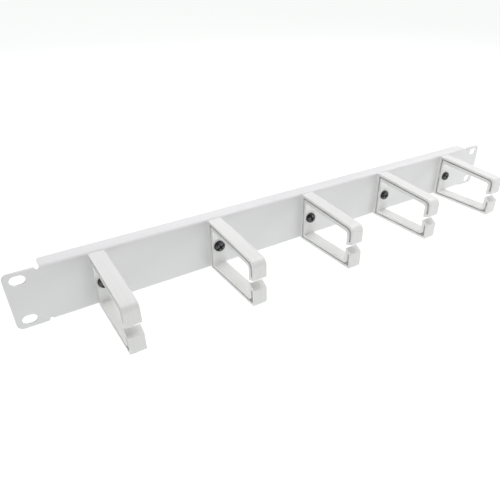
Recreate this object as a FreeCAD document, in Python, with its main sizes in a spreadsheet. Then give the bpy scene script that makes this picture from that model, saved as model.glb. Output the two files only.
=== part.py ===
import FreeCAD, Part
import math
import os
import re
import Sketcher

# Horizontal cable manager for a 19 inch rack: a folded steel panel one rack unit high,
# with five moulded cable rings screwed to its front.
#
# Frame: millimetres, +X along the panel, +Y to the back of the rack, +Z up.
# The origin is the centre of the plane on which the ears bear against the rack rails.

V = FreeCAD.Vector

# ---------------------------------------------------------------- driving dimensions
# name: (value, what it is); lengths in millimetres, angles in degrees
SIZES = {
    # folded panel
    "panel_width": (482.6, "overall width of the 19 inch panel"),
    "panel_height": (44.0, "height, one rack unit less its clearance"),
    "sheet": (1.5, "steel thickness"),
    "bend_radius": (0.6, "inner radius of both folds"),
    "fold_depth": (12.0, "front face to the back edge of the folds"),
    "fold_corner": (2.5, "plan radius of the folds' back corners"),
    "ear_width": (20.4, "panel's end to the relief notch"),
    "ear_corner": (4.5, "corner radius of the ears"),
    "relief_width": (2.7, "notch between ear and fold"),
    "relief_depth": (2.3, "notch below the panel's edge"),
    "relief_round": (1.3, "radius at the notch's bottom"),
    "slot_spacing": (465.1, "between left and right slot centres"),
    "slot_pitch": (31.75, "between upper and lower slot centres"),
    "slot_length": (9.8, "end to end"),
    "slot_width": (7.2, "across"),
    # moulded ring, seen from its side
    "ring_pitch": (91.0, "between neighbouring rings"),
    "ring_width": (10.8, "across the middle of the moulding"),
    "ring_depth": (68.6, "panel to the front of the lips"),
    "ring_half": (21.9, "half the height at the panel"),
    "ring_drop": (0.4, "ring's middle below the screw"),
    "arm_taper": (2.4, "slope of each arm towards the other"),
    "mould_draft": (1.5, "draft of each half from the parting line"),
    "rim_wall": (2.1, "outer wall of arms and lips"),
    "back_rim": (2.3, "outer wall against the panel"),
    "arm_groove": (1.3, "groove in the arms"),
    "end_groove": (1.9, "groove in the back and the lips"),
    "top_inner": (2.9, "inner wall of the upper arm"),
    "bottom_inner": (1.8, "inner wall of the lower arm"),
    "back_inner": (2.1, "inner wall of the back"),
    "lip_inner": (2.7, "inner wall of the lips"),
    "ring_web": (3.4, "web between the two side grooves"),
    "nose_round": (5.5, "outer corner, top front"),
    "toe_round": (2.0, "outer corner, bottom front"),
    "heel_round": (0.8, "outer corners at the panel"),
    "window_nose": (2.5, "window corner, top front"),
    "window_toe": (3.5, "window corner, bottom front"),
    "window_heel": (1.0, "window corners at the back"),
    "groove_nose": (4.0, "groove's outer corner, top front"),
    "groove_toe": (1.5, "groove's outer corner, bottom front"),
    "groove_heel": (0.5, "groove's outer corners at the back"),
    "inner_nose": (5.0, "groove's inner corner, top front"),
    "inner_toe": (4.5, "groove's inner corner, bottom front"),
    "inner_heel": (1.0, "groove's inner corners at the back"),
    "mouth_gap": (1.9, "gap between the lips, at the inside"),
    "mouth_rise": (0.3, "gap's middle above the ring's middle"),
    "upper_lead": (22.0, "flare of the upper lip's end"),
    "lower_lead": (31.0, "flare of the lower lip's end"),
    "lip_wall": (2.6, "solid end of each lip, beyond the groove"),
    "lip_round": (0.5, "rounding of the lips' ends"),
    "tip_round": (0.8, "rounding of the lower lip's inner tip"),
    # locating peg on the back of each ring
    "peg_size": (4.0, "diameter"),
    "peg_below": (14.0, "below the screw"),
    "peg_play": (0.2, "hole over peg, in diameter"),
    # screw, washer and nut
    "thread_size": (5.0, "outside diameter of the thread"),
    "screw_length": (16.0, "under the head"),
    "screw_play": (0.5, "hole over thread, in diameter"),
    "boss_wall": (1.6, "ring's boss round the screw hole"),
    "head_size": (9.0, "pan head across"),
    "head_height": (3.3, "pan head at its middle"),
    "head_fall": (0.4, "fall of the head's top to its edge"),
    "head_round": (2.0, "rounding of the head's edge"),
    "drive_width": (1.2, "screwdriver slot across"),
    "drive_depth": (1.5, "screwdriver slot below the head's top"),
    "cross_span": (4.6, "across the cross recess"),
    "cross_arm": (1.1, "width of one arm of the cross"),
    "cross_depth": (2.2, "cross recess below the head's top"),
    "cross_taper": (8.0, "slope of the cross recess's walls"),
    "tip_chamfer": (0.8, "end of the thread"),
    "washer_size": (10.0, "outside diameter"),
    "washer_height": (1.0, "thickness"),
    "washer_play": (0.3, "washer hole over thread, in diameter"),
    "nut_flats": (8.0, "across flats"),
    "nut_height": (4.0, "thickness"),
    "nut_bevel": (30.0, "slope of the bevels on the nut's corners"),
    "nut_play": (0.1, "bore over thread, in diameter"),
}

RING_NUMBERS = range(1, 6)
MIDDLE_RING = 3
NUT_CORNERS = 6
# two lengths nearer than this are the same
CLOSE = 1e-4
# how far each screw's slot stands turned from level, in degrees, seen from the front
SLOT_TURNS = {1: 64.0, 2: 26.0, 3: 120.0, 4: -2.0, 5: -28.0}

doc = FreeCAD.newDocument("cable_manager")
sheet = doc.addObject("Spreadsheet::Sheet", "Sizes")
for row, (name, (value, note)) in enumerate(SIZES.items(), start=1):
    sheet.set(f"A{row}", name)
    sheet.set(f"B{row}", str(value))
    sheet.set(f"C{row}", note)
    sheet.setAlias(f"B{row}", name)
doc.recompute()


def sized(formula):
    """The formula with each size's name written as its cell of the sheet."""
    def cell(word):
        return f"Sizes.{word[0]}" if word[0] in SIZES else word[0]
    return re.sub(r"[a-z]\w*", cell, formula)


def number(formula):
    """What the formula comes to with the sheet's present values."""
    return float(sheet.evalExpression(sized(formula)))


# ---------------------------------------------------------------- sketches
def add_body(name):
    body = doc.addObject("PartDesign::Body", name)
    body.Label = name
    return body


def origin_plane(body, role):
    return next(f for f in body.Origin.OriginFeatures if f.Role == role)


def add_sketch(body, name, role, offset=None):
    """A sketch on one of the body's origin planes, or moved off it by a formula."""
    sketch = body.newObject("Sketcher::SketchObject", name)
    sketch.AttachmentSupport = [(origin_plane(body, role), "")]
    sketch.MapMode = "FlatFace"
    if offset is not None:
        sketch.setExpression(".AttachmentOffset.Base.z", sized(offset))
    return sketch


def bind(sketch, kind, *args):
    """A constraint whose last argument is a formula."""
    *refs, formula = args
    index = sketch.addConstraint(Sketcher.Constraint(kind, *refs, number(formula)))
    sketch.setExpression(f"Constraints[{index}]", sized(formula))


def tie(sketch, kind, *refs):
    sketch.addConstraint(Sketcher.Constraint(kind, *refs))


def place_point(sketch, geometry, end, across, up):
    bind(sketch, "DistanceX", -1, 1, geometry, end, across)
    bind(sketch, "DistanceY", -1, 1, geometry, end, up)


def add_outline(sketch, corners):
    """Closed outline of straight runs through corners (across, up, radius), each a formula.

    A corner with no radius stays sharp. A rounded one keeps its sharp corner as a
    construction point, through which both straight runs would pass.
    """
    points = [V(number(across), number(up), 0) for across, up, _ in corners]
    radii = [number(radius) if radius else 0.0 for _, _, radius in corners]
    nexts = points[1:] + points[:1]
    run_ins, run_outs = [], []
    for previous, point, following, radius in zip(points[-1:] + points, points, nexts, radii):
        back = (previous - point).normalize()
        ahead = (following - point).normalize()
        trim = radius / math.tan(back.getAngle(ahead) / 2)
        run_ins.append(point + back * trim)
        run_outs.append(point + ahead * trim)
    lines = []
    for begin, finish in zip(run_outs, run_ins[1:] + run_ins[:1]):
        lines.append(sketch.addGeometry(Part.LineSegment(begin, finish), False))
    for here, (across, up, radius) in enumerate(corners):
        line_in, line_out = lines[here - 1], lines[here]
        if not radius:
            tie(sketch, "Coincident", line_in, 2, line_out, 1)
            place_point(sketch, line_out, 1, across, up)
            continue
        point, begin, finish = points[here], run_ins[here], run_outs[here]
        corner = sketch.addGeometry(Part.Point(point), True)
        place_point(sketch, corner, 1, across, up)
        inward = ((begin - point) + (finish - point)).normalize()
        reach = math.hypot((begin - point).Length, radii[here])
        middle = point + inward * (reach - radii[here])
        arc = sketch.addGeometry(Part.Arc(begin, middle, finish), False)
        clockwise = (begin - point).cross(finish - point).z > 0
        first, last = (2, 1) if clockwise else (1, 2)
        tie(sketch, "PointOnObject", corner, 1, line_in)
        tie(sketch, "PointOnObject", corner, 1, line_out)
        tie(sketch, "Tangent", line_in, 2, arc, first)
        tie(sketch, "Tangent", line_out, 1, arc, last)
        bind(sketch, "Radius", arc, radius)


def add_circle(sketch, diameter, across="0", up="0"):
    centre = V(number(across), number(up), 0)
    circle = sketch.addGeometry(Part.Circle(centre, V(0, 0, 1), number(diameter) / 2), False)
    place_point(sketch, circle, 3, across, up)
    bind(sketch, "Diameter", circle, diameter)


def add_obround(sketch, length, width, across, up):
    """Level slot with half-round ends, about a centre."""
    radius = number(width) / 2
    reach = V(number(f"({length} - {width}) / 2"), 0, 0)
    centre = V(number(across), number(up), 0)
    rise = V(0, radius, 0)
    ends = []
    for side in (1, -1):
        middle = centre + reach * side
        tip = middle + V(radius * side, 0, 0)
        arc = Part.Arc(middle - rise * side, tip, middle + rise * side)
        ends.append(sketch.addGeometry(arc, False))
        place_point(sketch, ends[-1], 3, f"{across} + {side} * ({length} - {width}) / 2", up)
        bind(sketch, "Radius", ends[-1], f"{width} / 2")
    right, left = ends
    upper = Part.LineSegment(centre + reach + rise, centre - reach + rise)
    lower = Part.LineSegment(centre - reach - rise, centre + reach - rise)
    for line, begin, finish in ((upper, right, left), (lower, left, right)):
        run = sketch.addGeometry(line, False)
        tie(sketch, "Tangent", begin, 2, run, 1)
        tie(sketch, "Tangent", run, 2, finish, 1)


def box_corners(left, right, low, high):
    return [(left, low, None), (right, low, None), (right, high, None), (left, high, None)]


# ---------------------------------------------------------------- features
def pad(body, sketch, name, length, both_ways=False, backwards=False):
    feature = body.newObject("PartDesign::Pad", name)
    feature.Profile = sketch
    feature.Reversed = backwards
    feature.SideType = "Symmetric" if both_ways else "One side"
    feature.setExpression("Length", sized(length))
    return feature


def pocket(body, sketch, name, length=None, both_ways=False, backwards=False, draft=None):
    """A cut right through, or as deep as the given length; it has to remove something."""
    doc.recompute()
    before = body.Shape.Volume
    feature = body.newObject("PartDesign::Pocket", name)
    feature.Profile = sketch
    feature.Reversed = backwards
    feature.SideType = "Symmetric" if both_ways else "One side"
    if length is None:
        feature.Type = "ThroughAll"
    else:
        feature.setExpression("Length", sized(length))
    if draft:
        feature.setExpression("TaperAngle", sized(draft))
    doc.recompute()
    if body.Shape.Volume > before - CLOSE:
        raise RuntimeError(f"{body.Label}: {name} removes nothing")
    return feature


def mirror(body, name, features, role):
    feature = body.newObject("PartDesign::Mirrored", name)
    feature.Originals = features
    feature.MirrorPlane = (origin_plane(body, role), [""])
    body.Tip = feature


def revolve(body, kind, sketch, name):
    feature = body.newObject(f"PartDesign::{kind}", name)
    feature.Profile = sketch
    feature.ReferenceAxis = (origin_plane(body, "Y_Axis"), [""])
    feature.Angle = 360.0
    return feature


def dress_edges(body, kind, name, size, wanted):
    """Fillet or Chamfer along every edge for which wanted(edge) is true."""
    doc.recompute()
    tip = body.Tip
    picked = [f"Edge{n}" for n, edge in enumerate(tip.Shape.Edges, start=1) if wanted(edge)]
    if not picked:
        raise RuntimeError(f"{body.Label}: {name} finds no edge")
    feature = body.newObject(f"PartDesign::{kind}", name)
    feature.Base = (tip, picked)
    feature.setExpression("Radius" if kind == "Fillet" else "Size", sized(size))


def put_at(body, across="0", back="0", up="0"):
    for axis, formula in zip("xyz", (across, back, up)):
        body.setExpression(f".Placement.Base.{axis}", sized(formula))


# ---------------------------------------------------------------- sizes derived from others
SCREW_HOLE = "thread_size + screw_play"
PEG_HOLE = "peg_size + peg_play"
BACK_WALL = "(back_rim + end_groove + back_inner)"
LIP_WALL = "(rim_wall + end_groove + lip_inner)"
TOP_ARM = "(rim_wall + arm_groove + top_inner)"
BOTTOM_ARM = "(rim_wall + arm_groove + bottom_inner)"


def ring_place(ring):
    """Where a ring's screw stands along the panel."""
    return f"ring_pitch * ({ring - MIDDLE_RING})"


# ---------------------------------------------------------------- folded panel
def make_panel():
    """One blank of sheet: a face with two ears, folded back along its top and bottom."""
    body = add_body("panel")
    half = "panel_height / 2"
    fold_end = "panel_width / 2 - ear_width - relief_width"
    fold_back = "fold_depth - sheet"

    section = add_sketch(body, "folded_section", "YZ_Plane")
    add_outline(section, [
        ("-sheet", f"-{half}", "bend_radius + sheet"),
        (fold_back, f"-{half}", None),
        (fold_back, f"sheet - {half}", None),
        ("0", f"sheet - {half}", "bend_radius"),
        ("0", f"{half} - sheet", "bend_radius"),
        (fold_back, f"{half} - sheet", None),
        (fold_back, half, None),
        ("-sheet", half, "bend_radius + sheet"),
    ])
    pad(body, section, "folded_run", f"2 * ({fold_end})", both_ways=True)
    dress_edges(body, "Fillet", "fold_corners", "fold_corner", lambda edge: (
        abs(edge.BoundBox.YMin - number(fold_back)) < CLOSE and edge.BoundBox.XLength < CLOSE))

    ear = add_sketch(body, "ear_outline", "XZ_Plane")
    add_outline(ear, [
        (fold_end, f"-{half}", None),
        ("panel_width / 2", f"-{half}", "ear_corner"),
        ("panel_width / 2", half, "ear_corner"),
        (fold_end, half, None),
    ])
    ear_pad = pad(body, ear, "ear", "sheet")

    relief = add_sketch(body, "relief_outline", "XZ_Plane")
    ear_side = f"{fold_end} + relief_width"
    add_outline(relief, [
        (fold_end, half, None),
        (fold_end, f"{half} - relief_depth", "relief_round"),
        (ear_side, f"{half} - relief_depth", "relief_round"),
        (ear_side, half, None),
    ])
    add_outline(relief, [
        (fold_end, f"-{half}", None),
        (ear_side, f"-{half}", None),
        (ear_side, f"relief_depth - {half}", "relief_round"),
        (fold_end, f"relief_depth - {half}", "relief_round"),
    ])
    relief_cut = pocket(body, relief, "relief", both_ways=True)

    slot = add_sketch(body, "slot_outline", "XZ_Plane")
    for level in ("slot_pitch / 2", "-slot_pitch / 2"):
        add_obround(slot, "slot_length", "slot_width", "slot_spacing / 2", level)
    slot_cut = pocket(body, slot, "slots", both_ways=True)
    mirror(body, "other_ear", [ear_pad, relief_cut, slot_cut], "YZ_Plane")

    holes = add_sketch(body, "hole_outline", "XZ_Plane")
    for ring in RING_NUMBERS:
        add_circle(holes, SCREW_HOLE, ring_place(ring))
        add_circle(holes, PEG_HOLE, ring_place(ring), "-peg_below")
    pocket(body, holes, "ring_holes", both_ways=True)


# ---------------------------------------------------------------- moulded ring
def top_at(depth):
    """Height of the ring's top, this far in front of the panel."""
    return f"(ring_half - ring_drop - ({depth}) * tan(arm_taper))"


def bottom_at(depth):
    return f"(({depth}) * tan(arm_taper) - ring_half - ring_drop)"


def mouth_face(side, inside_depth, wall="0"):
    """Height of a lip's end face, or of a line a wall's thickness behind it.

    side is 1 for the upper lip and -1 for the lower; inside_depth is measured forwards
    from the lips' inner face.
    """
    lead = "upper_lead" if side > 0 else "lower_lead"
    reach = f"mouth_gap / 2 + ({inside_depth}) * tan({lead}) + {wall} / cos({lead})"
    return f"{side} * ({reach}) - ring_drop + mouth_rise"


def block_outline():
    """The ring's outer edge; its back stands out as far as the draft takes it in again."""
    back = "ring_width / 2 * tan(mould_draft)"
    return [
        ("-ring_depth", bottom_at("ring_depth"), "toe_round"),
        (back, bottom_at("0"), "heel_round"),
        (back, top_at("0"), "heel_round"),
        ("-ring_depth", top_at("ring_depth"), "nose_round"),
    ]


def window_outline():
    """The cables' window and, through the front wall, the mouth flaring outwards."""
    lips = f"(ring_depth - {LIP_WALL})"
    outside = "(ring_depth + rim_wall)"
    through = f"({LIP_WALL} + rim_wall)"
    return [
        (f"-{lips}", f"{bottom_at(lips)} + {BOTTOM_ARM}", "window_toe"),
        (f"-{BACK_WALL}", f"{bottom_at(BACK_WALL)} + {BOTTOM_ARM}", "window_heel"),
        (f"-{BACK_WALL}", f"{top_at(BACK_WALL)} - {TOP_ARM}", "window_heel"),
        (f"-{lips}", f"{top_at(lips)} - {TOP_ARM}", "window_nose"),
        (f"-{lips}", mouth_face(1, "0"), "lip_round"),
        (f"-{outside}", mouth_face(1, through), None),
        (f"-{outside}", mouth_face(-1, through), None),
        (f"-{lips}", mouth_face(-1, "0"), "tip_round"),
    ]


def groove_outline():
    """The groove follows the ring from lip to lip: its outer edge, then its inner edge."""
    front = "(ring_depth - rim_wall)"
    back = "back_rim"
    inner_front = f"({front} - end_groove)"
    inner_back = "(back_rim + end_groove)"
    deep = f"({LIP_WALL} - rim_wall)"
    inset = "(rim_wall + arm_groove)"
    return [
        (f"-{front}", mouth_face(1, deep, "lip_wall"), None),
        (f"-{front}", f"{top_at(front)} - rim_wall", "groove_nose"),
        (f"-{back}", f"{top_at(back)} - rim_wall", "groove_heel"),
        (f"-{back}", f"{bottom_at(back)} + rim_wall", "groove_heel"),
        (f"-{front}", f"{bottom_at(front)} + rim_wall", "groove_toe"),
        (f"-{front}", mouth_face(-1, deep, "lip_wall"), None),
        (f"-{inner_front}", mouth_face(-1, "lip_inner", "lip_wall"), None),
        (f"-{inner_front}", f"{bottom_at(inner_front)} + {inset}", "inner_toe"),
        (f"-{inner_back}", f"{bottom_at(inner_back)} + {inset}", "inner_heel"),
        (f"-{inner_back}", f"{top_at(inner_back)} - {inset}", "inner_heel"),
        (f"-{inner_front}", f"{top_at(inner_front)} - {inset}", "inner_nose"),
        (f"-{inner_front}", mouth_face(1, "lip_inner", "lip_wall"), None),
    ]


def is_lip_edge(edge):
    """Whether an edge runs across a lip where its flare meets the front face."""
    box = edge.BoundBox
    front = number("ring_width / 2 * tan(mould_draft) - ring_depth")
    highest = number(mouth_face(1, LIP_WALL)) + CLOSE
    lowest = number(mouth_face(-1, LIP_WALL)) - CLOSE
    across = box.XLength > max(box.YLength, box.ZLength)
    return across and box.YMax < front + CLOSE and lowest < box.ZMin and box.ZMax < highest


def make_ring(ring):
    """A C-shaped moulding, grooved along both sides, its outside drafted from the middle."""
    body = add_body(f"cable_ring_{ring}")

    block = add_sketch(body, f"block_outline_{ring}", "YZ_Plane")
    add_outline(block, block_outline())
    moulding = body.newObject("PartDesign::Pad", f"block_{ring}")
    moulding.Profile = block
    moulding.SideType = "Two sides"
    for side in ("", "2"):
        moulding.setExpression(f"Length{side}", sized("ring_width / 2"))
        moulding.setExpression(f"TaperAngle{side}", sized("-mould_draft"))
    seat = add_sketch(body, f"seat_outline_{ring}", "XZ_Plane")
    add_outline(seat, box_corners("-ring_width", "ring_width", "-2 * ring_half", "2 * ring_half"))
    pocket(body, seat, f"seat_{ring}", "ring_width")

    window = add_sketch(body, f"window_outline_{ring}", "YZ_Plane")
    add_outline(window, window_outline())
    pocket(body, window, f"window_{ring}", both_ways=True)
    dress_edges(body, "Fillet", f"lips_{ring}", "lip_round", is_lip_edge)

    groove = add_sketch(body, f"groove_outline_{ring}", "YZ_Plane", "ring_web / 2")
    add_outline(groove, groove_outline())
    cut = pocket(body, groove, f"groove_{ring}", backwards=True)
    mirror(body, f"other_groove_{ring}", [cut], "YZ_Plane")

    boss = add_sketch(body, f"boss_outline_{ring}", "XZ_Plane", "back_rim / 2")
    add_circle(boss, f"{SCREW_HOLE} + 2 * boss_wall")
    pad(body, boss, f"boss_{ring}", "back_rim / 2 + end_groove + back_inner / 2")
    bore = add_sketch(body, f"bore_outline_{ring}", "XZ_Plane")
    add_circle(bore, SCREW_HOLE)
    pocket(body, bore, f"bore_{ring}", BACK_WALL, backwards=True)
    peg = add_sketch(body, f"peg_outline_{ring}", "XZ_Plane", "back_rim / 2")
    add_circle(peg, "peg_size", "0", "-peg_below")
    pad(body, peg, f"peg_{ring}", "back_rim / 2 + sheet", backwards=True)
    put_at(body, ring_place(ring), "-sheet")


# ---------------------------------------------------------------- fasteners
def make_screw(ring):
    """Pan head screw with a slot and a cross in its head; the thread is left plain."""
    body = add_body(f"ring_screw_{ring}")
    head_edge = "head_size / 2"
    shank = "thread_size / 2"

    turned = add_sketch(body, f"screw_section_{ring}", "XY_Plane")
    add_outline(turned, [
        ("0", "-head_height", None),
        (head_edge, "head_fall - head_height", "head_round"),
        (head_edge, "0", None),
        (shank, "0", None),
        (shank, "screw_length - tip_chamfer", None),
        (f"{shank} - tip_chamfer", "screw_length", None),
        ("0", "screw_length", None),
    ])
    revolve(body, "Revolution", turned, f"blank_{ring}")

    slot = add_sketch(body, f"drive_outline_{ring}", "XZ_Plane", "head_height")
    add_outline(slot, box_corners("-head_size", "head_size", "-drive_width / 2", "drive_width / 2"))
    pocket(body, slot, f"drive_{ring}", "drive_depth")

    cross = add_sketch(body, f"cross_outline_{ring}", "XZ_Plane", "head_height")
    arm, tip = "cross_arm / 2", "cross_span / 2"
    add_outline(cross, [
        (arm, arm, None), (arm, tip, None), (f"-{arm}", tip, None), (f"-{arm}", arm, None),
        (f"-{tip}", arm, None), (f"-{tip}", f"-{arm}", None), (f"-{arm}", f"-{arm}", None),
        (f"-{arm}", f"-{tip}", None), (arm, f"-{tip}", None), (arm, f"-{arm}", None),
        (tip, f"-{arm}", None), (tip, arm, None),
    ])
    pocket(body, cross, f"cross_{ring}", "cross_depth", draft="-cross_taper")
    put_at(body, ring_place(ring), f"-sheet - {BACK_WALL}")
    body.Placement.Rotation = FreeCAD.Rotation(V(0, -1, 0), SLOT_TURNS[ring])


def make_washer(ring):
    body = add_body(f"ring_washer_{ring}")
    outline = add_sketch(body, f"washer_outline_{ring}", "XZ_Plane")
    add_circle(outline, "washer_size")
    add_circle(outline, "thread_size + washer_play")
    pad(body, outline, f"washer_{ring}", "washer_height", backwards=True)
    put_at(body, ring_place(ring))


def make_nut(ring):
    """Hexagon nut with its corners bevelled at both ends; the bore is left plain."""
    body = add_body(f"ring_nut_{ring}")
    outline = add_sketch(body, f"nut_outline_{ring}", "XZ_Plane")
    turns = [360 / NUT_CORNERS * corner for corner in range(NUT_CORNERS)]
    reach = f"nut_flats / 2 / cos({180 / NUT_CORNERS})"
    add_outline(outline, [(f"{reach} * cos({turn})", f"{reach} * sin({turn})", None) for turn in turns])
    add_circle(outline, "thread_size + nut_play")
    pad(body, outline, f"hexagon_{ring}", "nut_height", backwards=True)

    bevels = add_sketch(body, f"bevel_section_{ring}", "XY_Plane")
    inner, outer = "nut_flats / 2", "nut_flats"
    fall = "nut_flats / 2 * tan(nut_bevel)"
    add_outline(bevels, [(inner, "0", None), (outer, "0", None), (outer, fall, None)])
    add_outline(bevels, [
        (inner, "nut_height", None),
        (outer, "nut_height", None),
        (outer, f"nut_height - {fall}", None),
    ])
    revolve(body, "Groove", bevels, f"bevel_{ring}")
    put_at(body, ring_place(ring), "washer_height")


# ---------------------------------------------------------------- build, check, write
make_panel()
for ring_number in RING_NUMBERS:
    make_ring(ring_number)
    make_screw(ring_number)
    make_washer(ring_number)
    make_nut(ring_number)
doc.recompute()

for thing in doc.Objects:
    if {"Invalid", "Error"} & set(thing.State):
        raise RuntimeError(f"{thing.Label} did not build: {thing.State}")
bodies = [thing for thing in doc.Objects if thing.TypeId == "PartDesign::Body"]
for body in bodies:
    if body.Shape.isNull() or not body.Shape.isValid():
        raise RuntimeError(f"{body.Label} is not a sound solid")

os.makedirs("parts", exist_ok=True)
for body in bodies:
    body.Shape.exportStep(f"parts/{body.Label}.step")
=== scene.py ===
import math

import bmesh
import bpy
from bpy.props import FloatProperty, FloatVectorProperty, IntProperty, PointerProperty
from mathutils import Matrix, Vector


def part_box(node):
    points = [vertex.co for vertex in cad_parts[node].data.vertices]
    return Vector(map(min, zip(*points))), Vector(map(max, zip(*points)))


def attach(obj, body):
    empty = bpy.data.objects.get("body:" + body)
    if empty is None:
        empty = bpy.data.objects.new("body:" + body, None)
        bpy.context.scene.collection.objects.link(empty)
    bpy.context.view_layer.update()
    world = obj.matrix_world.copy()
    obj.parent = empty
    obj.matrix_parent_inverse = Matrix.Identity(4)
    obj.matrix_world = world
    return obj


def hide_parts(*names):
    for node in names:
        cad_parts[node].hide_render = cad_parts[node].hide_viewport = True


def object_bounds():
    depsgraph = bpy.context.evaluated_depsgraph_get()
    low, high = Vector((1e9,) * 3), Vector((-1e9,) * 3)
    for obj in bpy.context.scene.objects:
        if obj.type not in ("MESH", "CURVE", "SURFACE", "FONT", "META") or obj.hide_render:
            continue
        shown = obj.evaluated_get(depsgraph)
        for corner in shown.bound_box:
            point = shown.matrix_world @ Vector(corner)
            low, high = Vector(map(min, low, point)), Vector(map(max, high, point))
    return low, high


bl_info = {
    "name": "Rack cable manager",
    "version": (1, 0, 0),
    "blender": (4, 5, 0),
    "location": "3D View > Sidebar > Cable manager",
    "description": "Finishes a one unit rack panel with moulded cable rings, in a plain studio",
    "category": "Object",
}

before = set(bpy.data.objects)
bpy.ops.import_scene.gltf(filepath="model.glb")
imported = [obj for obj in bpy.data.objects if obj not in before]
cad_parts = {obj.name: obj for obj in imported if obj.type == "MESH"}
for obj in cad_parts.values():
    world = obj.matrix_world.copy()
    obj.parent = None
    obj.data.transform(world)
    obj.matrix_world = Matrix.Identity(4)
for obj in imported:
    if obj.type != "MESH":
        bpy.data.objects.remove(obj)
CAD_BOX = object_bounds()

MM = 0.001
ROOT = "root"
PANEL = "panel"


def nodes_called(prefix):
    return sorted(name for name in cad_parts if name.startswith(prefix))


RINGS = nodes_called("cable_ring_")
SCREWS = nodes_called("ring_screw_")
WASHERS = nodes_called("ring_washer_")
NUTS = nodes_called("ring_nut_")
RING_PITCH = (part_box(RINGS[-1])[0].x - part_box(RINGS[0])[0].x) / (len(RINGS) - 1)
# nearer than this two corners are one
WELD = 0.002 * MM
# flat faces whose directions differ by less are made one
FLAT = math.radians(0.05)
# edges that turn by more than this are rounded off
CREASE = math.radians(28.0)
BEVEL_STEPS = 2
# how strongly large faces lead the shading of small ones, in per cent
SHADING_WEIGHT = 60

# the noise keeps mostly between these two
NOISE_LOW, NOISE_HIGH = 0.3, 0.7
# streaks to a metre: many across a ring, few along it
STREAK_RATES = (900.0, 22.0, 22.0)
# the tops of the screws' heads fall off with this power of the distance from the axis
DOME_POWER = 4.0
# share of a head's radius in which its recess lies
RECESS_REACH = 0.97

# a thread ridge's half widths, as shares of the pitch, and how far it is sunk into the shank
RIDGE_ROOT = 0.42
RIDGE_CREST = 0.07
RIDGE_SUNK = -0.2
# what is left of the ridge at its very ends, so that it stays closed
RIDGE_END = 0.02

FLOOR_SIZE = 16.0
SENSOR_WIDTH = 36.0
CLIP_NEAR, CLIP_FAR = 0.01, 50.0
# each lamp's setting, its two sides and its place, in metres
LAMPS = (
    ("top_light", (0.7, 0.7), (0.05, 0.05, 0.75)),
    ("right_light", (0.8, 0.8), (0.8, 0.1, 0.85)),
    ("front_light", (0.5, 0.5), (0.75, -0.65, 0.1)),
    ("back_light", (0.8, 0.6), (0.1, 0.9, 0.5)),
    ("left_light", (0.6, 0.6), (-1.0, -0.1, 0.25)),
)


def centre_of(node):
    low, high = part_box(node)
    return (low + high) / 2


# ---------------------------------------------------------------- settings
def length(name, description, default):
    return FloatProperty(name=name, description=description, default=default, unit="LENGTH", precision=5)


def colour(name, description, default):
    return FloatVectorProperty(
        name=name, description=description, default=default, subtype="COLOR", size=3, min=0.0, max=1.0)


def share(name, description, default):
    return FloatProperty(
        name=name, description=description, default=default, subtype="FACTOR", min=0.0, max=1.0)


def turn(name, description, default_degrees):
    return FloatProperty(
        name=name, description=description, default=math.radians(default_degrees), subtype="ANGLE")


class PanelSettings(bpy.types.PropertyGroup):
    paint: colour("Paint", "Powder coat of the folded panel", (0.867, 0.867, 0.870))
    gloss: share("Roughness", "Roughness of the powder coat", 0.42)
    grain: length("Orange peel", "Size of the coat's fine ripples", 1.1 * MM)
    ripple: length("Ripple depth", "Depth of the coat's fine ripples", 0.012 * MM)
    edge: length("Coated edge", "Rounding that the coat gives to the cut edges", 0.25 * MM)


class RingSettings(bpy.types.PropertyGroup):
    plastic: colour("Plastic", "Colour of the moulded rings", (0.906, 0.910, 0.897))
    gloss: share("Roughness", "Roughness of the mouldings", 0.40)
    grain: length("Grain", "Size of the mould's spark grain", 0.35 * MM)
    depth: length("Grain depth", "Depth of the mould's spark grain", 0.004 * MM)
    edge: length("Edge", "Rounding of the mouldings' edges", 0.4 * MM)
    line: length("Parting line", "Half width of the mould's parting line", 0.35 * MM)
    line_tone: share("Line tone", "How much darker the parting line is", 0.04)
    streaks: share("Streaks", "How much the streaks along the mouldings darken them", 0.06)
    # the edges' lighter colour is a painted highlight, laid on the rounded edges
    painted_highlight_tone: colour("Edge tone", "Colour of the thin, lit edges of the mouldings", (0.97, 0.97, 0.96))


class FastenerSettings(bpy.types.PropertyGroup):
    black: colour("Screw", "Black finish of the screws", (0.14, 0.14, 0.148))
    black_gloss: share("Screw roughness", "Roughness of the screws", 0.27)
    zinc: colour("Zinc", "Plating of the washers and nuts", (0.62, 0.64, 0.67))
    zinc_gloss: share("Zinc roughness", "Roughness of the plating", 0.30)
    edge: length("Edge", "Rounding of the fasteners' edges", 0.08 * MM)
    recess: length("Recess", "Depth of the heads' recesses at their deepest", 2.6 * MM)
    dome: length("Dome", "Fall of the heads' tops at their rims", 1.95 * MM)
    skin: length("Skin", "Depth of the lit upper edge of the recesses", 0.09 * MM)
    # painted shade inside the recesses, and a painted dark reflection along the heads' rims
    recess_shade: share("Recess shade", "How much darker the heads' recesses are", 0.98)
    painted_rim_shade: share("Rim shade", "How much darker the heads' rims are", 0.6)
    shank: length("Shank", "Length of the screws under the head", 16.0 * MM)
    thread_size: length("Thread", "Outside diameter of the thread", 5.0 * MM)
    pitch: length("Pitch", "Pitch of the thread", 0.8 * MM)
    thread_depth: length("Thread depth", "Crest to root of the thread", 0.49 * MM)
    run_out: length("Run-out", "Stretch over which the thread fades at each end", 0.9 * MM)
    steps: IntProperty(name="Steps", description="Corners in one turn of the thread", default=40, min=8)


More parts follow.
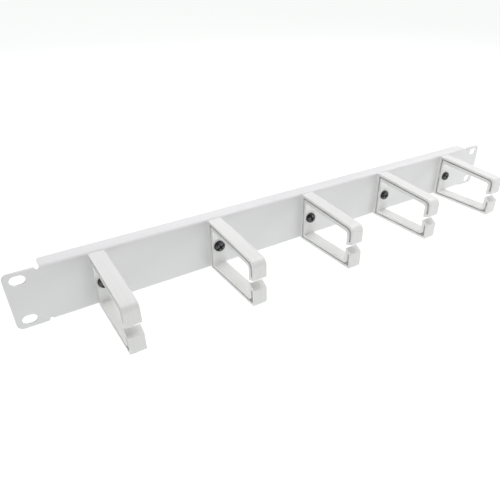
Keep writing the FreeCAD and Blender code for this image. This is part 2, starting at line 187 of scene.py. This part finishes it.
class StudioSettings(bpy.types.PropertyGroup):
    camera_place: FloatVectorProperty(
        name="Camera", description="Camera's place", subtype="TRANSLATION", unit="LENGTH", size=3,
        default=(-0.23776, -0.31122, 0.19845))
    heading: turn("Heading", "Camera's turn to the right from looking straight back", 35.978)
    dip: turn("Dip", "Camera's view below level", 31.817)
    roll: turn("Roll", "Camera's turn about its own view", 1.584)
    lens: FloatProperty(name="Lens", description="Focal length", default=34.769, unit="CAMERA")
    shift_x: FloatProperty(name="Shift X", description="Sideways shift of the lens", default=-0.0866)
    shift_y: FloatProperty(name="Shift Y", description="Upward shift of the lens", default=0.0110)
    floor: colour("Floor", "Colour of the studio floor", (0.25, 0.25, 0.25))
    glow_colour: colour("Glow", "Colour of the light from the floor", (0.985, 1.0, 0.99))
    floor_glow: FloatProperty(name="Floor glow", description="Light from the lit floor", default=0.90)
    room: FloatProperty(name="Room", description="Light from the white room", default=0.21)
    top_light: FloatProperty(name="Top light", description="Soft light overhead", default=3.3, unit="POWER")
    right_light: FloatProperty(
        name="Right light", description="Soft light above the right end", default=5.0, unit="POWER")
    front_light: FloatProperty(
        name="Front light", description="Low soft light at the right front", default=1.85, unit="POWER")
    back_light: FloatProperty(
        name="Back light", description="Soft light behind the panel", default=1.7, unit="POWER")
    lamp_colour: colour("Lamps", "Colour of the soft lamps", (1.0, 0.985, 1.0))
    left_light: FloatProperty(
        name="Left light", description="Soft light beyond the left end", default=0.6, unit="POWER")


SETTINGS = {
    "panel_finish": PanelSettings,
    "ring_finish": RingSettings,
    "fastener_finish": FastenerSettings,
    "studio": StudioSettings,
}


# ---------------------------------------------------------------- materials
def link(tree, source, output, target, socket):
    tree.links.new(source.outputs[output], target.inputs[socket])


def grain_group():
    """Shared surface grain: a bumped normal, and two slow and fast masks between 0 and 1."""
    group = bpy.data.node_groups.get("surface_grain")
    if group:
        return group
    group = bpy.data.node_groups.new("surface_grain", "ShaderNodeTree")
    for name, default in (("Grain Size", MM), ("Depth", 0.01 * MM), ("Patch Size", 60 * MM)):
        socket = group.interface.new_socket(name, in_out="INPUT", socket_type="NodeSocketFloat")
        socket.default_value = default
    group.interface.new_socket("Normal", in_out="OUTPUT", socket_type="NodeSocketVector")
    group.interface.new_socket("Grain", in_out="OUTPUT", socket_type="NodeSocketFloat")
    group.interface.new_socket("Patches", in_out="OUTPUT", socket_type="NodeSocketFloat")
    given = group.nodes.new("NodeGroupInput")
    made = group.nodes.new("NodeGroupOutput")
    place = group.nodes.new("ShaderNodeTexCoord")

    def noise(size_input, detail):
        fineness = group.nodes.new("ShaderNodeMath")
        fineness.operation = "DIVIDE"
        fineness.inputs[0].default_value = 1.0
        link(group, given, size_input, fineness, 1)
        texture = group.nodes.new("ShaderNodeTexNoise")
        texture.inputs["Detail"].default_value = detail
        link(group, place, "Object", texture, "Vector")
        link(group, fineness, "Value", texture, "Scale")
        return texture

    grain = noise("Grain Size", 2.0)
    patches = noise("Patch Size", 3.0)
    bump = group.nodes.new("ShaderNodeBump")
    link(group, given, "Depth", bump, "Distance")
    link(group, grain, "Fac", bump, "Height")
    link(group, bump, "Normal", made, "Normal")
    link(group, grain, "Fac", made, "Grain")
    link(group, patches, "Fac", made, "Patches")
    return group


def ramp_between(tree, source, output, low, high):
    """The mask spread over the range from low to high."""
    spread = tree.nodes.new("ShaderNodeMapRange")
    spread.inputs["From Min"].default_value = NOISE_LOW
    spread.inputs["From Max"].default_value = NOISE_HIGH
    spread.inputs["To Min"].default_value = low
    spread.inputs["To Max"].default_value = high
    link(tree, source, output, spread, "Value")
    return spread


def surface(name, base, roughness, grain, depth, patch, shade=0.03, gloss_spread=0.06, metallic=0.0):
    """A material whose colour and gloss vary slightly in patches, over a fine grain."""
    material = bpy.data.materials.new(name)
    material.use_nodes = True
    tree = material.node_tree
    shader = tree.nodes["Principled BSDF"]
    shader.inputs["Metallic"].default_value = metallic
    group = tree.nodes.new("ShaderNodeGroup")
    group.node_tree = grain_group()
    group.inputs["Grain Size"].default_value = grain
    group.inputs["Depth"].default_value = depth
    group.inputs["Patch Size"].default_value = patch
    mix = tree.nodes.new("ShaderNodeMix")
    mix.data_type = "RGBA"
    mix.inputs["A"].default_value = (*(channel * (1 - shade) for channel in base), 1.0)
    mix.inputs["B"].default_value = (*base, 1.0)
    tone = ramp_between(tree, group, "Patches", 0.0, 1.0)
    link(tree, tone, "Result", mix, "Factor")
    tree.links.new(mix.outputs["Result"], shader.inputs["Base Color"])
    gloss = ramp_between(tree, group, "Grain", roughness - gloss_spread / 2, roughness + gloss_spread / 2)
    link(tree, gloss, "Result", shader, "Roughness")
    link(tree, group, "Normal", shader, "Normal")
    return material


def tone_group(name, inputs):
    """An empty group with the object's own coordinates split up, and a Tone to be filled in."""
    group = bpy.data.node_groups.new(name, "ShaderNodeTree")
    for socket_name in inputs:
        group.interface.new_socket(socket_name, in_out="INPUT", socket_type="NodeSocketFloat")
    group.interface.new_socket("Tone", in_out="OUTPUT", socket_type="NodeSocketFloat")
    given = group.nodes.new("NodeGroupInput")
    made = group.nodes.new("NodeGroupOutput")
    place = group.nodes.new("ShaderNodeTexCoord")
    axes = group.nodes.new("ShaderNodeSeparateXYZ")
    link(group, place, "Object", axes, "Vector")

    def maths(operation, *values):
        node = group.nodes.new("ShaderNodeMath")
        node.operation = operation
        for socket, value in zip(node.inputs, values):
            if isinstance(value, bpy.types.NodeSocket):
                group.links.new(value, socket)
            else:
                socket.default_value = value
        return node.outputs["Value"]

    half_pitch = maths("MULTIPLY", given.outputs["Pitch"], 0.5)
    aside = maths("PINGPONG", axes.outputs["X"], half_pitch)
    return group, given, made, place, axes, aside, maths


def moulding_group():
    """Marks of the mould: a fine line round each ring's middle, and streaks along its faces."""
    group, given, made, place, _, aside, maths = tone_group(
        "moulding_marks", ("Pitch", "Line Width", "Line Depth", "Streak Depth"))
    stretch = group.nodes.new("ShaderNodeVectorMath")
    stretch.operation = "MULTIPLY"
    stretch.inputs[1].default_value = STREAK_RATES
    link(group, place, "Object", stretch, 0)
    streaks = group.nodes.new("ShaderNodeTexNoise")
    streaks.inputs["Scale"].default_value = 1.0
    streaks.inputs["Detail"].default_value = 1.0
    link(group, stretch, "Vector", streaks, "Vector")
    near = maths("DIVIDE", aside, given.outputs["Line Width"])
    nearness = maths("MAXIMUM", maths("SUBTRACT", 1.0, near), 0.0)
    line = maths("MULTIPLY", nearness, given.outputs["Line Depth"])
    streak = maths("MULTIPLY", streaks.outputs["Fac"], given.outputs["Streak Depth"])
    group.links.new(maths("SUBTRACT", maths("SUBTRACT", 1.0, line), streak), made.inputs["Tone"])
    return group


def recess_group():
    """Painted shade inside the screw heads' recesses: what lies below the domed top, near the axis; and a
    painted dark reflection towards the heads' rims.
    """
    group, given, made, _, axes, aside, maths = tone_group("recess_shade", (
        "Pitch", "Axis Height", "Face", "Head Radius", "Dome", "Skin", "Floor", "Shade", "Rim Shade"))
    above = maths("SUBTRACT", axes.outputs["Z"], given.outputs["Axis Height"])
    square = maths("ADD", maths("MULTIPLY", aside, aside), maths("MULTIPLY", above, above))
    reach = maths("DIVIDE", maths("SQRT", square), given.outputs["Head Radius"])
    towards_rim = maths("POWER", reach, DOME_POWER)
    top = maths("MULTIPLY", towards_rim, given.outputs["Dome"])
    depth = maths("SUBTRACT", axes.outputs["Y"], given.outputs["Face"])
    sunk = maths("GREATER_THAN", maths("SUBTRACT", depth, top), given.outputs["Skin"])
    in_head = maths("LESS_THAN", depth, given.outputs["Floor"])
    inside = maths("MULTIPLY", maths("LESS_THAN", reach, RECESS_REACH), in_head)
    # painted shade below the domed top
    shade = maths("MULTIPLY", maths("MULTIPLY", inside, sunk), given.outputs["Shade"])
    # painted dark reflection, deeper towards the rim
    rim = maths("MULTIPLY", maths("MINIMUM", towards_rim, 1.0), given.outputs["Rim Shade"])
    group.links.new(maths("SUBTRACT", 1.0, maths("MAXIMUM", shade, rim)), made.inputs["Tone"])
    return group


def tone_down(material, group, values):
    """Multiply the material's colour by a group's Tone."""
    tree = material.node_tree
    shader = tree.nodes["Principled BSDF"]
    colour_before = shader.inputs["Base Color"].links[0].from_socket
    tone = tree.nodes.new("ShaderNodeGroup")
    tone.node_tree = group
    for name, value in values.items():
        tone.inputs[name].default_value = value
    mix = tree.nodes.new("ShaderNodeMix")
    mix.data_type = "RGBA"
    mix.blend_type = "MULTIPLY"
    mix.inputs["Factor"].default_value = 1.0
    tree.links.new(colour_before, mix.inputs["A"])
    tree.links.new(tone.outputs["Tone"], mix.inputs["B"])
    tree.links.new(mix.outputs["Result"], shader.inputs["Base Color"])


# ---------------------------------------------------------------- meshes
def merged_mesh(node, name, reshape=None):
    """The CAD node's mesh with its loose triangles joined up and flat faces made whole."""
    shape = bmesh.new()
    shape.from_mesh(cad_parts[node].data)
    bmesh.ops.remove_doubles(shape, verts=shape.verts, dist=WELD)
    if reshape:
        reshape(shape)
    bmesh.ops.dissolve_limit(
        shape, angle_limit=FLAT, verts=shape.verts, edges=shape.edges, delimit={"NORMAL"})
    mesh = bpy.data.meshes.new(name)
    shape.to_mesh(mesh)
    shape.free()
    mesh.shade_smooth()
    return mesh


def finished_piece(node, name, material, edge, reshape=None, painted_highlight_material=None):
    """A copy of a CAD node with slightly rounded edges and smooth curves, in its place."""
    mesh = merged_mesh(node, name, reshape)
    mesh.materials.clear()
    mesh.materials.append(material)
    mesh.set_sharp_from_angle(angle=CREASE)
    piece = bpy.data.objects.new(name, mesh)
    bpy.context.scene.collection.objects.link(piece)
    rounding = piece.modifiers.new("Rounded edges", "BEVEL")
    rounding.width = edge
    rounding.segments = BEVEL_STEPS
    rounding.limit_method = "ANGLE"
    rounding.angle_limit = CREASE
    rounding.use_clamp_overlap = True
    # a lighter material on the rounded edges is a painted highlight
    if painted_highlight_material:
        mesh.materials.append(painted_highlight_material)
        rounding.material = 1
    shading = piece.modifiers.new("Even shading", "WEIGHTED_NORMAL")
    shading.keep_sharp = False
    shading.weight = SHADING_WEIGHT
    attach(piece, ROOT)
    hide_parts(node)
    return piece


# ---------------------------------------------------------------- operators
class CABLE_OT_panel(bpy.types.Operator):
    """Coat the folded panel"""

    bl_idname = "cable_manager.panel"
    bl_label = "Panel"

    def execute(self, context):
        look = context.scene.panel_finish
        coat = surface("powder_coat", look.paint, look.gloss, look.grain, look.ripple, 90 * MM, shade=0.02)
        finished_piece(PANEL, "coated_panel", coat, look.edge)
        return {"FINISHED"}


class CABLE_OT_rings(bpy.types.Operator):
    """Finish the moulded cable rings"""

    bl_idname = "cable_manager.rings"
    bl_label = "Cable rings"

    def execute(self, context):
        look = context.scene.ring_finish
        plastic = surface(
            "ring_plastic", look.plastic, look.gloss, look.grain, look.depth, 40 * MM, shade=0.02)
        tone_down(plastic, moulding_group(), {
            "Pitch": RING_PITCH,
            "Line Width": look.line,
            "Line Depth": look.line_tone,
            "Streak Depth": look.streaks,
        })
        # a lighter copy of the plastic on the rounded edges: a painted highlight
        lit = surface("ring_edges", look.painted_highlight_tone, look.gloss, look.grain, look.depth, 40 * MM, shade=0.02)
        for number, node in enumerate(RINGS, start=1):
            finished_piece(node, f"moulded_ring_{number}", plastic, look.edge,
                           painted_highlight_material=lit)
        return {"FINISHED"}


class CABLE_OT_screws(bpy.types.Operator):
    """Finish the screws' heads and cut their threads"""

    bl_idname = "cable_manager.screws"
    bl_label = "Screws"

    def execute(self, context):
        look = context.scene.fastener_finish
        black = surface("black_steel", look.black, look.black_gloss, 0.5 * MM, 0.004 * MM, 6 * MM,
                        shade=0.3, gloss_spread=0.12, metallic=1.0)
        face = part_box(SCREWS[0])[0].y
        # paints shade into the recesses and a dark reflection along the rims
        tone_down(black, recess_group(), {
            "Pitch": RING_PITCH,
            "Axis Height": centre_of(SCREWS[0]).z,
            "Face": face,
            "Head Radius": (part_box(SCREWS[0])[1].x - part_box(SCREWS[0])[0].x) / 2,
            "Dome": look.dome,
            "Skin": look.skin,
            "Floor": look.recess,
            "Shade": look.recess_shade,
            "Rim Shade": look.painted_rim_shade,
        })
        for number, node in enumerate(SCREWS, start=1):
            middle = centre_of(node)
            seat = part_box(node)[1].y - look.shank
            crest = look.thread_size / 2

            def slim_shank(shape):
                """Take the plain shank down to the thread's root."""
                for corner in shape.verts:
                    out = Vector((corner.co.x - middle.x, 0, corner.co.z - middle.z))
                    if corner.co.y > seat - WELD and abs(out.length - crest) < 0.05 * MM:
                        corner.co -= out.normalized() * look.thread_depth

            finished_piece(node, f"screw_{number}", black, look.edge, slim_shank)
        threads = make_threads(look, black)
        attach(threads, ROOT)
        return {"FINISHED"}


class CABLE_OT_nuts(bpy.types.Operator):
    """Plate the nuts and washers behind the panel"""

    bl_idname = "cable_manager.nuts"
    bl_label = "Nuts and washers"

    def execute(self, context):
        look = context.scene.fastener_finish
        zinc = surface("zinc_plate", look.zinc, look.zinc_gloss, 0.4 * MM, 0.003 * MM, 4 * MM,
                       shade=0.15, gloss_spread=0.14, metallic=1.0)
        for prefix, nodes in (("washer", WASHERS), ("nut", NUTS)):
            for number, node in enumerate(nodes, start=1):
                finished_piece(node, f"{prefix}_{number}", zinc, look.edge)
        return {"FINISHED"}


# ---------------------------------------------------------------- thread by Geometry Nodes
THREAD_INPUTS = (
    ("Screws", "NodeSocketInt"),
    ("Spacing", "NodeSocketVector"),
    ("First Start", "NodeSocketVector"),
    ("Length", "NodeSocketFloat"),
    ("Pitch", "NodeSocketFloat"),
    ("Root Radius", "NodeSocketFloat"),
    ("Depth", "NodeSocketFloat"),
    ("Run-out", "NodeSocketFloat"),
    ("Steps", "NodeSocketInt"),
    ("Material", "NodeSocketMaterial"),
)


def thread_tree():
    """A helical ridge along +Y, repeated along a line of screws."""
    tree = bpy.data.node_groups.new("screw_threads", "GeometryNodeTree")
    for name, kind in THREAD_INPUTS:
        tree.interface.new_socket(name, in_out="INPUT", socket_type=kind)
    tree.interface.new_socket("Geometry", in_out="OUTPUT", socket_type="NodeSocketGeometry")
    given = tree.nodes.new("NodeGroupInput")
    made = tree.nodes.new("NodeGroupOutput")

    def math_node(operation, first, second):
        node = tree.nodes.new("ShaderNodeMath")
        node.operation = operation
        for socket, value in zip(node.inputs, (first, second)):
            if isinstance(value, bpy.types.NodeSocket):
                tree.links.new(value, socket)
            else:
                socket.default_value = value
        return node.outputs["Value"]

    turns = math_node("DIVIDE", given.outputs["Length"], given.outputs["Pitch"])
    spiral = tree.nodes.new("GeometryNodeCurveSpiral")
    link(tree, given, "Steps", spiral, "Resolution")
    tree.links.new(turns, spiral.inputs["Rotations"])
    link(tree, given, "Root Radius", spiral, "Start Radius")
    link(tree, given, "Root Radius", spiral, "End Radius")
    link(tree, given, "Length", spiral, "Height")

    upright = tree.nodes.new("GeometryNodeSetCurveNormal")
    upright.mode = "Z_UP"
    link(tree, spiral, "Curve", upright, "Curve")

    along = tree.nodes.new("GeometryNodeSplineParameter")
    distance = math_node("MULTIPLY", along.outputs["Factor"], given.outputs["Length"])
    left = math_node("SUBTRACT", given.outputs["Length"], distance)
    nearest_end = math_node("MINIMUM", distance, left)
    fade = math_node("DIVIDE", nearest_end, given.outputs["Run-out"])
    full = math_node("MINIMUM", fade, 1.0)
    ridge_scale = math_node("MAXIMUM", full, RIDGE_END)
    sized_curve = tree.nodes.new("GeometryNodeSetCurveRadius")
    link(tree, upright, "Curve", sized_curve, "Curve")
    tree.links.new(ridge_scale, sized_curve.inputs["Radius"])

    profile = tree.nodes.new("GeometryNodeCurvePrimitiveQuadrilateral")
    profile.mode = "POINTS"
    half_root = math_node("MULTIPLY", given.outputs["Pitch"], RIDGE_ROOT)
    half_crest = math_node("MULTIPLY", given.outputs["Pitch"], RIDGE_CREST)
    sunk = math_node("MULTIPLY", given.outputs["Depth"], RIDGE_SUNK)
    corners = (
        (half_root, sunk, -1.0), (half_root, sunk, 1.0),
        (half_crest, given.outputs["Depth"], 1.0), (half_crest, given.outputs["Depth"], -1.0),
    )
    for number, (width, height, side) in enumerate(corners, start=1):
        point = tree.nodes.new("ShaderNodeCombineXYZ")
        tree.links.new(math_node("MULTIPLY", width, side), point.inputs["Y"])
        # the curve's normal looks at the axis
        tree.links.new(math_node("MULTIPLY", height, -1.0), point.inputs["X"])
        link(tree, point, "Vector", profile, f"Point {number}")
    ridge = tree.nodes.new("GeometryNodeCurveToMesh")
    link(tree, sized_curve, "Curve", ridge, "Curve")
    link(tree, profile, "Curve", ridge, "Profile Curve")
    ridge.inputs["Fill Caps"].default_value = True

    lay_down = tree.nodes.new("GeometryNodeTransform")
    link(tree, ridge, "Mesh", lay_down, "Geometry")
    lay_down.inputs["Rotation"].default_value = (math.radians(-90), 0.0, 0.0)
    line = tree.nodes.new("GeometryNodeMeshLine")
    link(tree, given, "Screws", line, "Count")
    link(tree, given, "First Start", line, "Start Location")
    link(tree, given, "Spacing", line, "Offset")
    repeat = tree.nodes.new("GeometryNodeInstanceOnPoints")
    link(tree, line, "Mesh", repeat, "Points")
    link(tree, lay_down, "Geometry", repeat, "Instance")
    real = tree.nodes.new("GeometryNodeRealizeInstances")
    link(tree, repeat, "Instances", real, "Geometry")
    painted = tree.nodes.new("GeometryNodeSetMaterial")
    link(tree, real, "Geometry", painted, "Geometry")
    link(tree, given, "Material", painted, "Material")
    link(tree, painted, "Geometry", made, "Geometry")
    return tree


def make_threads(look, material):
    """One mesh with the thread of every screw, from under the head to the tip."""
    first, last = SCREWS[0], SCREWS[-1]
    start = centre_of(first)
    start.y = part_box(first)[1].y - look.shank + look.run_out / 2
    spacing = (centre_of(last) - centre_of(first)) / (len(SCREWS) - 1)
    values = {
        "Screws": len(SCREWS),
        "Spacing": spacing,
        "First Start": start,
        "Length": look.shank - look.run_out,
        "Pitch": look.pitch,
        "Root Radius": look.thread_size / 2 - look.thread_depth,
        "Depth": look.thread_depth,
        "Run-out": look.run_out,
        "Steps": look.steps,
        "Material": material,
    }
    holder = bpy.data.objects.new("thread_holder", bpy.data.meshes.new("thread_holder"))
    bpy.context.scene.collection.objects.link(holder)
    modifier = holder.modifiers.new("Threads", "NODES")
    tree = thread_tree()
    modifier.node_group = tree
    for item in tree.interface.items_tree:
        if item.in_out == "INPUT":
            modifier[item.identifier] = values[item.name]
    mesh = mesh_from(holder, "screw_threads")
    bpy.data.objects.remove(holder)
    mesh.shade_smooth()
    mesh.set_sharp_from_angle(angle=CREASE)
    threads = bpy.data.objects.new("screw_threads", mesh)
    bpy.context.scene.collection.objects.link(threads)
    return threads


def mesh_from(holder, name):
    """The plain mesh that an object's modifiers make."""
    graph = bpy.context.evaluated_depsgraph_get()
    mesh = bpy.data.meshes.new_from_object(holder.evaluated_get(graph))
    mesh.name = name
    if not mesh.polygons:
        raise RuntimeError(f"{name} came out empty")
    return mesh


# ---------------------------------------------------------------- studio
def add_soft_light(name, power, size, place, tint):
    """A broad lamp turned to the middle of the panel."""
    lamp = bpy.data.lights.new(name, "AREA")
    lamp.shape = "RECTANGLE"
    lamp.energy = power
    lamp.color = tint
    lamp.size, lamp.size_y = size
    light = bpy.data.objects.new(name, lamp)
    light.location = place
    light.rotation_mode = "QUATERNION"
    light.rotation_quaternion = Vector(place).to_track_quat("Z", "Y")
    bpy.context.scene.collection.objects.link(light)


class CABLE_OT_studio(bpy.types.Operator):
    """Lay the white floor and set the lights and the camera"""

    bl_idname = "cable_manager.studio"
    bl_label = "Studio"

    def execute(self, context):
        scene = context.scene
        look = scene.studio
        low, high = CAD_BOX
        middle = (low + high) / 2

        bpy.ops.mesh.primitive_plane_add(size=FLOOR_SIZE, location=(middle.x, middle.y, low.z))
        floor = context.object
        floor.name = "studio_floor"
        paper = bpy.data.materials.new("studio_paper")
        paper.use_nodes = True
        shader = paper.node_tree.nodes["Principled BSDF"]
        shader.inputs["Base Color"].default_value = (*look.floor, 1.0)
        shader.inputs["Roughness"].default_value = 0.9
        shader.inputs["Specular IOR Level"].default_value = 0.0
        shader.inputs["Emission Color"].default_value = (*look.glow_colour, 1.0)
        shader.inputs["Emission Strength"].default_value = look.floor_glow
        floor.data.materials.append(paper)

        world = bpy.data.worlds.new("white_room")
        world.use_nodes = True
        world.node_tree.nodes["Background"].inputs["Color"].default_value = (1.0, 1.0, 1.0, 1.0)
        world.node_tree.nodes["Background"].inputs["Strength"].default_value = look.room
        scene.world = world
        for name, size, place in LAMPS:
            add_soft_light(name, getattr(look, name), size, place, look.lamp_colour)

        lens = bpy.data.cameras.new("camera")
        lens.lens = look.lens
        lens.sensor_width = SENSOR_WIDTH
        lens.shift_x, lens.shift_y = look.shift_x, look.shift_y
        lens.clip_start, lens.clip_end = CLIP_NEAR, CLIP_FAR
        camera = bpy.data.objects.new("camera", lens)
        turned = (
            Matrix.Rotation(-look.heading, 4, "Z")
            @ Matrix.Rotation(math.radians(90) - look.dip, 4, "X")
            @ Matrix.Rotation(look.roll, 4, "Z")
        )
        camera.matrix_world = Matrix.Translation(look.camera_place) @ turned
        scene.collection.objects.link(camera)
        scene.camera = camera
        scene.view_settings.view_transform = "Standard"
        return {"FINISHED"}


class CABLE_PT_sidebar(bpy.types.Panel):
    bl_idname = "CABLE_PT_sidebar"
    bl_label = "Cable manager"
    bl_space_type = "VIEW_3D"
    bl_region_type = "UI"
    bl_category = "Cable manager"

    def draw(self, context):
        for settings in SETTINGS:
            box = self.layout.box()
            values = getattr(context.scene, settings)
            for name in values.__annotations__:
                box.prop(values, name)
        for operator in STEPS:
            self.layout.operator(operator.bl_idname)


STEPS = (CABLE_OT_panel, CABLE_OT_rings, CABLE_OT_screws, CABLE_OT_nuts, CABLE_OT_studio)
CLASSES = (*SETTINGS.values(), *STEPS, CABLE_PT_sidebar)


def register():
    for cls in CLASSES:
        bpy.utils.register_class(cls)
    for name, settings in SETTINGS.items():
        setattr(bpy.types.Scene, name, PointerProperty(type=settings))


def unregister():
    for name in SETTINGS:
        delattr(bpy.types.Scene, name)
    for cls in reversed(CLASSES):
        bpy.utils.unregister_class(cls)


def main():
    register()
    bpy.ops.cable_manager.panel()
    bpy.ops.cable_manager.rings()
    bpy.ops.cable_manager.screws()
    bpy.ops.cable_manager.nuts()
    bpy.ops.cable_manager.studio()


if __name__ == "__main__":
    main()
